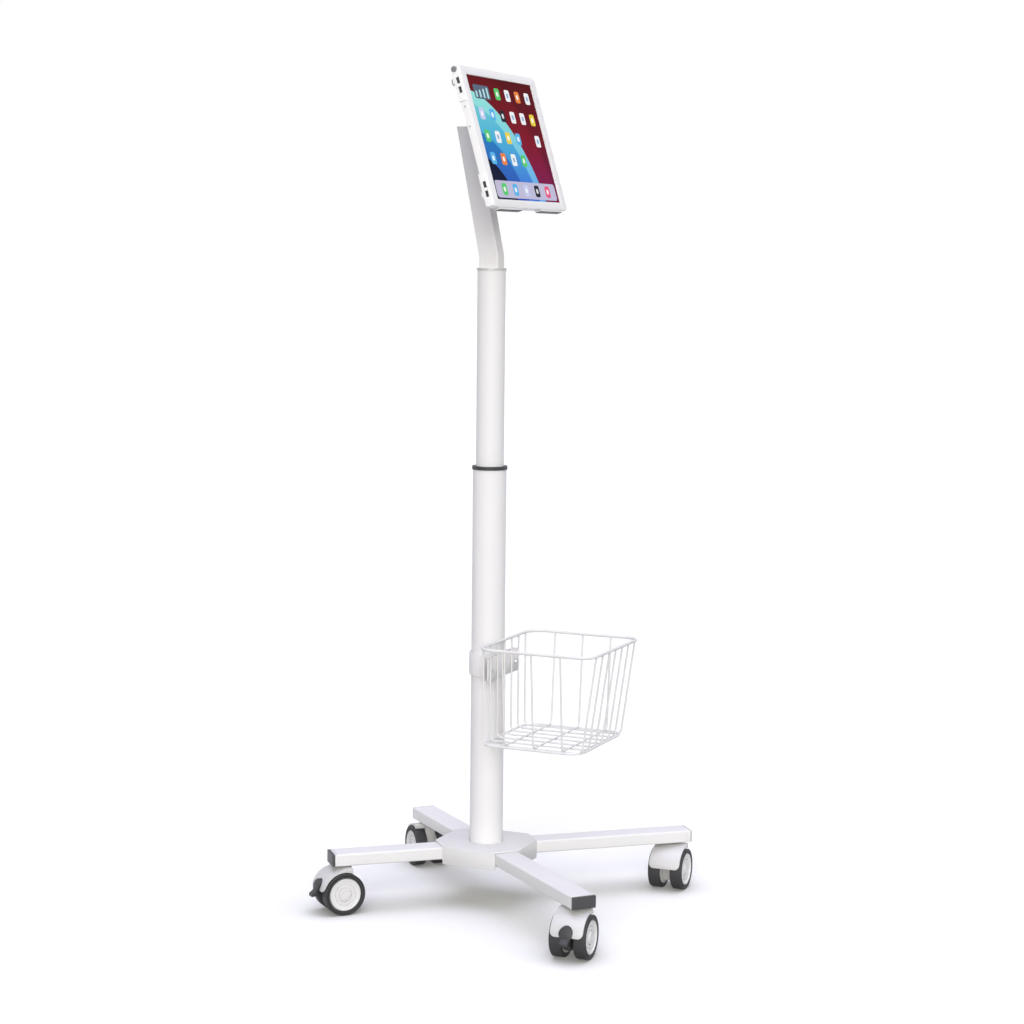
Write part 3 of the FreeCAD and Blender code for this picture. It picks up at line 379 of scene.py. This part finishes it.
def speckled(name, colour, rough, grain, grain_size, spread, metallic=0.0, coat=0.0):
    """A surface with a fine bump, small changes of tone, and slow changes of roughness."""
    kit = new_material(name)
    point = kit.place()
    slow = kit.noise(point, SLOW_SCALE, SLOW_DETAIL)
    dark = [channel * (1 - spread) for channel in colour]
    kit.shade({
        "Base Color": kit.ramp(slow, ((DARK_AT, dark), (LIGHT_AT, colour))),
        "Roughness": kit.spread(slow, rough - ROUGH_BELOW, rough + ROUGH_ABOVE),
        "Metallic": metallic,
        "Coat Weight": coat,
    })
    kit.bump(kit.noise(point, grain_size, FINE_DETAIL), grain)
    return kit.owner


def two_tone(name, lower, upper, height, far=None, top=None):
    """One coat below a height and another above it, each (colour, roughness, metallic share).

    The upper coat may turn slowly into a far colour at the top; on the arm this is painted shade.
    """
    kit = new_material(name)
    point = kit.place()
    level = kit.split(point)["Z"]
    above = kit.compute("GREATER_THAN", level, height)
    high = opaque(upper[0])
    if far:
        high = kit.mix(kit.fade(level, height, top), high, opaque(far))
    tone = kit.mix(above, opaque(lower[0]), high)
    shade = kit.spread(kit.noise(point, SLOW_SCALE, SLOW_DETAIL), *COAT_TONES)
    kit.shade({
        "Base Color": kit.mix(1.0, tone, shade, "MULTIPLY"),
        "Roughness": kit.spread(above, lower[1], upper[1]),
        "Metallic": kit.spread(above, lower[2], upper[2]),
    })
    kit.bump(kit.noise(point, COAT_SCALE, FINE_DETAIL), COAT_GRAIN)
    return kit.owner


def capped(name, sleeve, face):
    """The legs' end caps: the leg's coat, and the dark insert on the outermost few millimetres."""
    kit = new_material(name)
    point = kit.place()
    split = kit.split(point)
    aside = kit.compute("MULTIPLY", kit.compute("ABSOLUTE", split["X"]), LEG_DIRECTION[0])
    along = kit.compute("ABSOLUTE", split["Y"])
    reach = kit.compute("MULTIPLY_ADD", along, LEG_DIRECTION[1], aside)
    right = kit.compute("GREATER_THAN", split["X"], 0.0)
    rear = kit.compute("GREATER_THAN", split["Y"], 0.0)
    start = kit.compute("MULTIPLY_ADD", right, RIGHT_CAP_SHIFT, FRONT_CAP_START)
    start = kit.compute("MULTIPLY_ADD", rear, REAR_CAP_START - FRONT_CAP_START, start)
    dark = kit.compute("GREATER_THAN", reach, start)
    grain = kit.noise(point, INSERT_SCALE, FINE_DETAIL)
    kit.shade({
        "Base Color": kit.mix(dark, opaque(sleeve), opaque(face)),
        "Roughness": kit.spread(grain, *INSERT_ROUGHNESS),
    })
    kit.bump(grain, COAT_GRAIN)
    return kit.owner


# Each coat is a name, a colour, a roughness, the strength and the scale of its grain, and how
# much its tone varies
WHITE_COAT = (0.795, 0.788, 0.765)
# The arm's coat is the white coat a little darkened, and darker still towards its top: painted
# shade of the holder above it.
ARM_SHADED_COAT = (0.77, 0.752, 0.73)
ARM_TOP_PAINTED_SHADE = (0.56, 0.555, 0.555)
HOOD_COAT = speckled("hood_moulding", (0.615, 0.61, 0.588), 0.36, 0.15, 1200, 0.03, coat=0.1)
KNOB_COAT = speckled("grey_knob", (0.22, 0.22, 0.225), 0.42, 0.3, 1500, 0.1)
MATERIALS = {
    "white_steel": speckled("white_powder_coat", WHITE_COAT, 0.42, 0.25, 1400, 0.03),
    "white_wire": speckled("white_wire_coat", (0.75, 0.745, 0.715), 0.38, 0.15, 1600, 0.03),
    "bare_steel": speckled("zinc_steel", (0.55, 0.55, 0.56), 0.32, 0.2, 900, 0.12, metallic=1.0),
    "charcoal_plastic": speckled("charcoal_moulding", (0.026, 0.026, 0.028), 0.50, 0.4, 1800, 0.15),
    "white_plastic": speckled("white_moulding", (0.755, 0.75, 0.73), 0.34, 0.12, 1200, 0.02,
                              coat=0.15),
    "tread": speckled("grey_rubber_tread", (0.026, 0.026, 0.027), 0.58, 0.45, 700, 0.2),
    "tablet_metal": speckled("blasted_aluminium", (0.62, 0.63, 0.65), 0.4, 0.3, 2200, 0.04,
                             metallic=1.0),
    "gas_spring": speckled("black_enamel", (0.02, 0.02, 0.02), 0.25, 0.1, 800, 0.2),
    "screen_glass": speckled("black_glass", (0.012, 0.012, 0.014), 0.12, 0.0, 300, 0.1),
}
NODE_MATERIALS = {
    "column_lower_tube": two_tone("tube_with_collar", (WHITE_COAT, 0.42, 0.0),
                                  ((0.02, 0.02, 0.022), 0.5, 0.0), COLLAR_BOTTOM),
    # The arm darkens from its foot plate up to the holder: painted shade.
    "arm": two_tone("arm_on_plate_with_painted_shade", ((0.50, 0.49, 0.48), 0.4, 0.3), (ARM_SHADED_COAT, 0.42, 0.0),
                    FOOT_PLATE_TOP, ARM_TOP_PAINTED_SHADE, ARM_FADE_TOP),
    "hub_housing": speckled("hub_coat", (0.725, 0.72, 0.70), 0.42, 0.25, 1400, 0.03),
    "leg_end_caps": capped("cap_insert", WHITE_COAT, (0.045, 0.045, 0.047)),
    **{f"{corner}_caster_housing": HOOD_COAT for corner in CORNERS},
    "holder_frame": speckled("bright_white_coat", (0.90, 0.895, 0.868), 0.38, 0.2, 1400, 0.02),
    "holder_back": speckled("white_sheet_coat", (0.88, 0.875, 0.87), 0.38, 0.2, 1400, 0.02),
    # The bracket is dark grey to stand for the shade in the gap between the arm and the holder:
    # painted shade.
    "head_bracket": speckled("bracket_painted_shade", (0.12, 0.12, 0.125), 0.45, 0.3, 1400, 0.06),
    "cam_lock": speckled("dark_lock_coat", (0.06, 0.06, 0.063), 0.42, 0.25, 1400, 0.08),
}


# Mesh helpers

def new_object(name, build, slot, body, matrix=None, material=None):
    """A piece from a bmesh, smooth where its faces meet softly, riding on a body."""
    mesh = bpy.data.meshes.new(name)
    build.to_mesh(mesh)
    build.free()
    if matrix:
        mesh.transform(matrix)
    mesh.materials.append(material or MATERIALS[slot])
    for polygon in mesh.polygons:
        polygon.use_smooth = True
    mesh.set_sharp_from_angle(angle=SOFT_BELOW)
    obj = bpy.data.objects.new(name, mesh)
    collection.objects.link(obj)
    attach(obj, body)
    return obj


def sweep(build, rings, closed):
    """Joins rings of points into a skin, with caps on an open one's ends."""
    rows = [[build.verts.new(point) for point in ring] for ring in rings]
    sides = len(rows[0])
    for index in range(len(rows) if closed else len(rows) - 1):
        row, following = rows[index], rows[(index + 1) % len(rows)]
        for side in range(sides):
            after = (side + 1) % sides
            build.faces.new((row[side], row[after], following[after], following[side]))
    if not closed:
        build.faces.new(rows[0])
        build.faces.new(list(reversed(rows[-1])))


def bent_path(corners, bend, closed=False):
    """The points of a wire's middle line, with a round bend at each corner between straights."""
    count = len(corners)
    points = []
    for index, here in enumerate(corners):
        if not closed and index in (0, count - 1):
            points.append(here)
            continue
        inward = (here - corners[index - 1]).normalized()
        outward = (corners[(index + 1) % count] - here).normalized()
        turn = inward.angle(outward)
        axis = inward.cross(outward).normalized()
        start = here - inward * bend * math.tan(turn / 2)
        centre = start + axis.cross(inward) * bend
        for step in range(BEND_STEPS + 1):
            swing = Matrix.Rotation(turn * step / BEND_STEPS, 3, axis)
            points.append(centre + swing @ (start - centre))
    return points


def wire(build, points, normal, radius, closed=False):
    """A round bar along points in one plane, mitred at each point."""
    count = len(points)
    turns = [math.tau * side / WIRE_SIDES for side in range(WIRE_SIDES)]
    rings = []
    for index, here in enumerate(points):
        before = points[index - 1] if closed or index else 2 * here - points[1]
        after = points[(index + 1) % count] if closed or index < count - 1 else 2 * here - before
        inward, outward = (here - before).normalized(), (after - here).normalized()
        across = normal.cross(inward + outward).normalized()
        stretch = radius / across.dot(normal.cross(inward))
        rings.append([here + normal * (radius * math.cos(turn))
                      + across * (stretch * math.sin(turn)) for turn in turns])
    sweep(build, rings, closed)


def turned(name, profile, steps, slot, body, matrix, material=None):
    """A piece made by turning a closed profile of (radius, height) points about the Z axis."""
    rings = []
    for step in range(steps):
        turn = math.tau * step / steps
        rings.append([Vector((radius * math.cos(turn), radius * math.sin(turn), height))
                      for radius, height in profile])
    build = bmesh.new()
    sweep(build, rings, closed=True)
    clean(build)
    return new_object(name, build, slot, body, matrix, material)


def rounded(corners, size, steps=5):
    """The corners of a flat outline, each cut by a short curve that starts a size before it."""
    points = []
    count = len(corners)
    for index in range(count):
        here = Vector(corners[index])
        before = Vector(corners[index - 1]) - here
        after = Vector(corners[(index + 1) % count]) - here
        cut = min(size, before.length / 2, after.length / 2)
        start, end = here + before.normalized() * cut, here + after.normalized() * cut
        for step in range(steps + 1):
            share = step / steps
            point = start * (1 - share) ** 2 + here * 2 * share * (1 - share) + end * share ** 2
            points.append(tuple(point))
    return points


def box(build, low, high):
    """A box between two corners."""
    points = [Vector((x, y, z)) for z in (low[2], high[2]) for x, y in
              ((low[0], low[1]), (high[0], low[1]), (high[0], high[1]), (low[0], high[1]))]
    sweep(build, [points[:4], points[4:]], closed=False)


def clean(build):
    bmesh.ops.remove_doubles(build, verts=build.verts, dist=DOUBLES_DISTANCE)
    bmesh.ops.recalc_face_normals(build, faces=build.faces)


def toward(place, direction):
    """The matrix that stands a piece drawn along +Z on a place, pointing in a direction."""
    turn = Vector(direction).to_track_quat("Z", "Y").to_matrix().to_4x4()
    return Matrix.Translation(place) @ turn


# CAD nodes

def dress_nodes():
    """Gives each CAD node its material, welds its faces and rounds or splits its sharp edges."""
    for part in frame["record"]["subparts"]:
        name = part["node"]
        node = nodes[name]
        node.data.materials.clear()
        node.data.materials.append(NODE_MATERIALS.get(name, MATERIALS[part["material_slot"]]))
        for polygon in node.data.polygons:
            polygon.use_smooth = True
        node.modifiers.new("weld", "WELD").merge_threshold = WELD_DISTANCE
        if name in EDGE_ROUND:
            bevel = node.modifiers.new("edges", "BEVEL")
            bevel.width = EDGE_ROUND[name]
            bevel.segments = ROUND_SEGMENTS
            bevel.limit_method = "ANGLE"
            bevel.angle_limit = SOFT_BELOW
            bevel.harden_normals = True
        else:
            split = node.modifiers.new("edges", "EDGE_SPLIT")
            split.split_angle = SPLIT_ABOVE


# Basket

def basket():
    """Round wires in the place of the CAD model's many-sided ones."""
    build = bmesh.new()
    sideways, forward, upward = Vector((1, 0, 0)), Vector((0, 1, 0)), Vector((0, 0, 1))
    top_side, floor_side = BASKET_TOP_WIDTH / 2, BASKET_FLOOR_WIDTH / 2
    top_front, floor_front = BASKET_BACK - BASKET_TOP_DEPTH, BASKET_BACK - BASKET_FLOOR_DEPTH
    for index in LONG_PLACES:
        x = BASKET_MIDDLE + index * LONG_PITCH
        corners = [Vector((x, y, z)) for y, z in
                   ((BASKET_BACK, BASKET_RIM), (BASKET_BACK, BASKET_FLOOR),
                    (floor_front, BASKET_FLOOR), (top_front, BASKET_RIM))]
        wire(build, bent_path(corners, WIRE_BEND), sideways, WIRE_RADIUS)
    level = BASKET_FLOOR + 2 * WIRE_RADIUS - WELD
    for index in CROSS_PLACES:
        y = BASKET_BACK - BASKET_FLOOR_DEPTH / 2 - CROSS_SHIFT - index * CROSS_PITCH
        corners = [Vector((BASKET_MIDDLE + x, y, z)) for x, z in
                   ((-top_side, BASKET_RIM), (-floor_side, level),
                    (floor_side, level), (top_side, BASKET_RIM))]
        wire(build, bent_path(corners, WIRE_BEND), forward, WIRE_RADIUS)
    for side, front, height, radius in ((top_side, top_front, BASKET_RIM, RIM_RADIUS),
                                        (floor_side, floor_front, BASKET_FLOOR, RING_RADIUS)):
        corners = [Vector((BASKET_MIDDLE + x, y, height)) for x, y in
                   ((-side, front), (side, front), (side, BASKET_BACK), (-side, BASKET_BACK))]
        wire(build, bent_path(corners, BASKET_CORNER, closed=True), upward, radius, closed=True)
    clean(build)
    piece = new_object("basket_wires", build, "white_wire", "base")
    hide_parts("basket")


# Casters

def wheels():
    """Each wheel's tyre, in the CAD wheel's place, and its disc."""
    for corner in CORNERS:
        for side, flip in (("a", 0.0), ("b", math.pi)):
            name = f"{corner}_wheel_{side}"
            joint = joints[name + "_spin"]
            place = toward(joint["pos_m"], joint["axis"]) @ Matrix.Rotation(flip, 4, "X")
            tyre(name, place)
            disc(name, place)


def from_outer_side(points):
    """The (radius, height) points of a profile that is given as (radius, drop)."""
    return [(radius, WHEEL_GAP / 2 + WHEEL_WIDTH - drop) for radius, drop in points]


def tyre(name, place):
    """The tyre's ring, round at its shoulders, with a shallow crease on its outer side."""
    outline = rounded(from_outer_side(TYRE_SHOULDERS), SHOULDER_ROUND)
    outline += from_outer_side(TYRE_CREASE)
    piece = turned(name + "_tyre", outline, WHEEL_STEPS, "tread", name, place)
    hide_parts(name)


def disc(name, place):
    """The white disc with its rings, its raised hub ring and the cap in its middle."""
    turned(name + "_disc", from_outer_side(DISC_FACE), WHEEL_STEPS, "white_plastic", name, place)


# Small parts

def screw(name, place, radius, body):
    """A pan head with a round recess, drawn along +Z from the face that it lies on."""
    profile = [(0.0, -SCREW_SUNK), (radius, -SCREW_SUNK)]
    profile += [(share * radius, rise * radius) for share, rise in SCREW_HEAD]
    turned(name, profile, SCREW_STEPS, "bare_steel", body, place)


def nut(name, place, radius, body):
    """A hexagon nut with a threaded end in it, drawn along +Z from its face."""
    profile = [(share * radius, height) for share, height in NUT_SECTION]
    turned(name, profile, NUT_SIDES, "bare_steel", body, place)


def fasteners():
    """The clamp's two screws with their nuts, and the bolts under the hub's plate."""
    for index, x in enumerate(CLAMP_SCREWS):
        front = toward((x, CLAMP_FRONT, CLAMP_LEVEL), (0, -1, 0))
        back = toward((x, CLAMP_BACK, CLAMP_LEVEL), (0, 1, 0))
        screw(f"clamp_screw_{index}", front, CLAMP_SCREW_RADIUS, "base")
        nut(f"clamp_nut_{index}", back, CLAMP_NUT_RADIUS, "base")
    for heading in LEG_HEADINGS:
        turn = math.radians(heading)
        for along in HUB_BOLT_PLACES:
            place = (along * math.cos(turn), along * math.sin(turn), HUB_UNDERSIDE)
            screw(f"hub_bolt_{heading}_{round(along / MM)}", toward(place, (0, 0, -1)),
                  HUB_BOLT_RADIUS, "base")


def holder_details():
    """Dark boxes of painted shade in the corner slots, dark strips under the two grips that are
    partly rubber pads and partly painted shade, two side screws and the knob.
    """
    build = bmesh.new()
    # Dark boxes in the corner slots: painted shade in the slots' hollows.
    for side in (-1, 1):
        for level in (-1, 1):
            for step in (0.0, SLOT_PITCH):
                middle = level * (SLOT_LEVEL - step)
                near, far = sorted((side * (SLOT_FACE - SLOT_SHADE_INNER), side * (SLOT_FACE - SLOT_SHADE_OUTER)))
                box(build, (near, SLOT_DEPTH - SLOT_SHADE_HALF_DEPTH, middle - SLOT_SHADE_HALF_HEIGHT),
                    (far, SLOT_DEPTH + SLOT_SHADE_HALF_DEPTH, middle + SLOT_SHADE_HALF_HEIGHT))
    # Dark strips under the grips: partly rubber pads, partly painted shade under the grips.
    for side in (-1, 1):
        near, far = sorted(side * end for end in GRIP_ENDS)
        box(build, (near, GRIP_FRONT, GRIP_UNDERSIDE), (far, GRIP_BACK, GRIP_TOP))
    clean(build)
    new_object("holder_painted_shade_and_grip_pads", build, "charcoal_plastic", "holder", HEAD)
    for level in SIDE_SCREWS:
        place = HEAD @ toward((-HOLDER_SIDE, SLOT_DEPTH, level), (-1, 0, 0))
        screw(f"holder_screw_{round(level / MM)}", place, SIDE_SCREW_RADIUS, "holder")
    turned("holder_knob", KNOB_SECTION, KNOB_STEPS, "charcoal_plastic", "holder",
           HEAD @ toward(KNOB_PLACE, (-1, 0, 0)), KNOB_COAT)


# The home screen

def tile(build, tint, colour, centre, size, corner, depth):
    """A flat tile with round corners, facing the user, in one colour."""
    low_x, high_x = centre[0] - size[0] / 2, centre[0] + size[0] / 2
    low_z, high_z = centre[1] - size[1] / 2, centre[1] + size[1] / 2
    outline = rounded([(low_x, low_z), (high_x, low_z), (high_x, high_z), (low_x, high_z)],
                      corner, TILE_CORNER_STEPS)
    face = build.faces.new([build.verts.new((x, -depth, z)) for x, z in outline])
    for loop in face.loops:
        loop[tint] = opaque(colour)


def icon(build, tint, name, centre):
    """A plain tile with a small mark in its middle."""
    tile(build, tint, TILE_COLOURS[name], centre, (TILE_SIZE, TILE_SIZE), TILE_CORNER, TILE_DEPTH)
    tile(build, tint, TILE_MARKS[name], centre, (MARK_SIZE, MARK_SIZE), MARK_CORNER, MARK_DEPTH)


def lit_screen(kit, colour):
    """Makes the material black glass that is lit from inside in a colour."""
    kit.shade({
        "Base Color": opaque(GLASS_COLOUR),
        "Roughness": GLASS_ROUGHNESS,
        "IOR": GLASS_IOR,
        "Emission Color": colour,
        "Emission Strength": 1.0,
    })
    return kit.owner


def wallpaper_material():
    """Soft rings of colour round a point below the lower left corner."""
    kit = new_material("lit_wallpaper")
    split = kit.split(kit.add("TexCoord").outputs["Generated"])
    up = split["Z"]
    level = kit.compute("MULTIPLY", up, WINDOW_HEIGHT / WINDOW_WIDTH)
    flat = kit.add("CombineXYZ", {"X": split["X"], "Y": level}).outputs["Vector"]
    away = kit.add("VectorMath", {0: flat, 1: RING_CENTRE}, operation="DISTANCE").outputs["Value"]
    colour = kit.ramp(up, WALLPAPER_MIDDLE)
    for radius, soft, stops in WALLPAPER_RINGS:
        edge = kit.fade(away, radius - soft, radius + soft)
        colour = kit.mix(edge, colour, kit.ramp(up, stops))
    return lit_screen(kit, colour)


def tile_material():
    kit = new_material("lit_tiles")
    return lit_screen(kit, kit.add("Attribute", attribute_name="tint").outputs["Color"])


def display():
    """A made-up home screen: wallpaper, plain tiles in rows, a wide panel and a row at the foot."""
    right, top = (WINDOW_WIDTH - WINDOW_MARGIN) / 2, (WINDOW_HEIGHT - WINDOW_MARGIN) / 2
    build = bmesh.new()
    corners = ((-right, -top), (right, -top), (right, top), (-right, top))
    build.faces.new([build.verts.new((x, -WALLPAPER_DEPTH, z)) for x, z in corners])
    new_object("wallpaper", build, "screen_glass", "holder", HEAD, wallpaper_material())
    build = bmesh.new()
    tint = build.loops.layers.float_color.new("tint")
    for row, names in enumerate(TILE_ROWS):
        for column, name in enumerate(names):
            if name:
                centre = (TILE_LEFT + column * TILE_PITCH, TILE_TOP - row * TILE_DROP)
                icon(build, tint, name, centre)
    tile(build, tint, PANEL_COLOUR, PANEL_PLACE, PANEL_SIZE, PANEL_CORNER, TILE_DEPTH)
    for index in range(CHART_BARS):
        centre = [place + start + index * step
                  for place, start, step in zip(PANEL_PLACE, CHART_START, CHART_STEP)]
        size = (CHART_SIZE[0], CHART_SIZE[1] + index * CHART_GROWTH)
        tile(build, tint, CHART_COLOUR, centre, size, CHART_CORNER, MARK_DEPTH)
    tile(build, tint, FOOT_BAR_COLOUR, (0.0, FOOT_LEVEL), FOOT_BAR, FOOT_BAR_CORNER, BAR_DEPTH)
    for index, name in enumerate(FOOT_ROW):
        icon(build, tint, name, ((index - (len(FOOT_ROW) - 1) / 2) * FOOT_PITCH, FOOT_LEVEL))
    new_object("home_tiles", build, "screen_glass", "holder", HEAD, tile_material())


# Studio

def background_rays(kit):
    """1 for a ray from the camera, off gloss or through glass, and 0 for the light on the cart."""
    path = kit.add("LightPath").outputs
    either = kit.compute("MAXIMUM", path["Is Camera Ray"], path["Is Glossy Ray"])
    return kit.compute("MAXIMUM", either, path["Is Transmission Ray"])


def world_light():
    """A white background, and a soft dome for the light, cooler above and warmer at eye level."""
    world = bpy.data.worlds.new("studio")
    bpy.context.scene.world = world
    kit = Nodes(world, "Background")
    height = kit.split(kit.add("TexCoord").outputs["Generated"])["Z"]
    dome = kit.ramp(height, ((0.0, DOME_RIM), (1.0, DOME_TOP)))
    kit.shade({"Color": kit.mix(background_rays(kit), dome, WHITE)})


def floor():
    """A pale floor that looks white away from the cart's shadow, with a painted shadow from
    occlusion that darkens it softly near the cart.
    """
    corners = [(x * FLOOR_HALF, y * FLOOR_HALF, 0) for x, y in ((-1, -1), (1, -1), (1, 1), (-1, 1))]
    mesh = bpy.data.meshes.new("floor")
    mesh.from_pydata(corners, [], [(0, 1, 2, 3)])
    plane = bpy.data.objects.new("floor", mesh)
    collection.objects.link(plane)
    kit = new_material("pale_floor")
    seen = background_rays(kit)
    # Painted shadow: the floor's colour darkens where the cart hides it from its surroundings.
    near = kit.add("AmbientOcclusion", {"Distance": PAINTED_SHADOW_REACH}, samples=PAINTED_SHADOW_SAMPLES)
    painted_shadow = kit.spread(near.outputs["AO"], 1 - PAINTED_SHADOW_SHARE, 1.0)
    tone = kit.mix(seen, opaque(FLOOR_BOUNCE), opaque(FLOOR_SEEN))
    kit.shade({
        "Base Color": kit.mix(1.0, tone, painted_shadow, "MULTIPLY"),
        "Roughness": FLOOR_ROUGHNESS,
        "Specular IOR Level": FLOOR_SPECULAR,
        "Emission Color": WHITE,
        "Emission Strength": kit.compute("MULTIPLY", seen, FLOOR_GLOW),
    })
    mesh.materials.append(kit.owner)


def lamp(name, direction, energy, spread, colour):
    sun = bpy.data.lights.new(name, "SUN")
    sun.angle = math.radians(spread)
    sun.energy = energy
    sun.color = colour
    holder = bpy.data.objects.new(name, sun)
    holder.rotation_euler = Vector(direction).to_track_quat("-Z", "Y").to_euler()
    collection.objects.link(holder)


def camera():
    lens = bpy.data.cameras.new("camera")
    lens.sensor_width = SENSOR
    lens.lens = LENS
    lens.clip_end = CAMERA_REACH
    viewer = bpy.data.objects.new("camera", lens)
    collection.objects.link(viewer)
    up = CAMERA_RIGHT.cross(CAMERA_FORWARD)
    turn = Matrix((CAMERA_RIGHT, up, -CAMERA_FORWARD)).transposed()
    viewer.matrix_world = Matrix.Translation(CAMERA_PLACE) @ turn.to_4x4()
    bpy.context.scene.camera = viewer


def studio():
    bpy.context.scene.view_settings.view_transform = "Standard"
    world_light()
    floor()
    camera()
    for name, values in LAMPS.items():
        lamp(name, *values)


dress_nodes()
basket()
wheels()
fasteners()
holder_details()
display()
studio()
